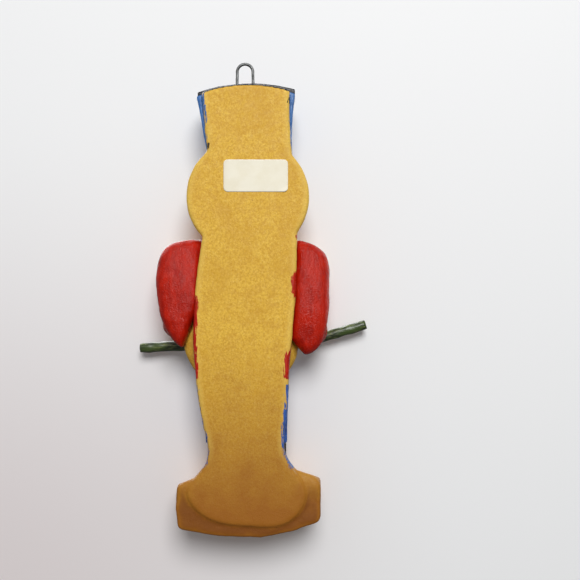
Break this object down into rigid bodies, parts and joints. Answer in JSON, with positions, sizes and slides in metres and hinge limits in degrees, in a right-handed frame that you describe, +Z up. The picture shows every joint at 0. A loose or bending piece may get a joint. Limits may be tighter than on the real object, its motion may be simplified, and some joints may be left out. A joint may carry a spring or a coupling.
{
  "type": "salt dough toy soldier ornament",
  "caption": "Flat-backed baked dough figure of a toy soldier drummer with a tall hat, puffed sleeves, side drum and sticks, hung by a bent wire loop.",
  "frame": {"origin": "inside top of the wire loop, on the loop's centre plane, which is the middle plane of the back slab", "axes": "+Z up the figure, +Y out of the flat back, the modelled front faces -Y, +X is the figure's own left"},
  "size_m": [0.0951, 0.0275, 0.1888],
  "materials": {
    "dough": "satin",
    "blue_hat_paint": "gloss",
    "dark_paint": "gloss",
    "gold_paint": "gloss",
    "red_paint": "gloss",
    "pink_paint": "gloss",
    "brown_paint": "gloss",
    "white_paint": "gloss",
    "blue_trouser_paint": "gloss",
    "green_paint": "gloss",
    "red_knob_paint": "gloss",
    "wire": "satin",
    "label_paper": "matte"
  },
  "bodies": {
    "root": {"back_slab": "dough", "base_block": "dough", "drum_shell": "dough", "face": "dough", "left_hand": "dough", "nose": "dough", "right_hand": "dough", "hat_shell": "blue_hat_paint", "chin_strap": "dark_paint", "eyes": "dark_paint", "hat_top_band": "dark_paint", "hat_visor": "dark_paint", "left_boot": "dark_paint", "right_boot": "dark_paint", "belt_plate": "gold_paint", "collar": "gold_paint", "hat_badge": "gold_paint", "hat_bottom_band": "gold_paint", "jacket_buttons": "gold_paint", "left_epaulette": "gold_paint", "left_trouser_stripe": "gold_paint", "plume_holder": "gold_paint", "right_epaulette": "gold_paint", "right_trouser_stripe": "gold_paint", "hat_plume": "red_paint", "jacket_front": "red_paint", "left_sleeve": "red_paint", "mouth": "red_paint", "right_sleeve": "red_paint", "cheeks": "pink_paint", "hair_left": "brown_paint", "hair_right": "brown_paint", "drum_skin": "white_paint", "left_cuff": "white_paint", "right_cuff": "white_paint", "shoulder_belt_left": "white_paint", "shoulder_belt_right": "white_paint", "drum_hoop": "blue_trouser_paint", "left_trouser_leg": "blue_trouser_paint", "right_trouser_leg": "blue_trouser_paint", "left_drumstick": "green_paint", "right_drumstick": "green_paint", "left_stick_tip": "red_knob_paint", "right_stick_tip": "red_knob_paint", "hanger_wire": "wire", "price_label": "label_paper"}
  },
  "joints": []
}
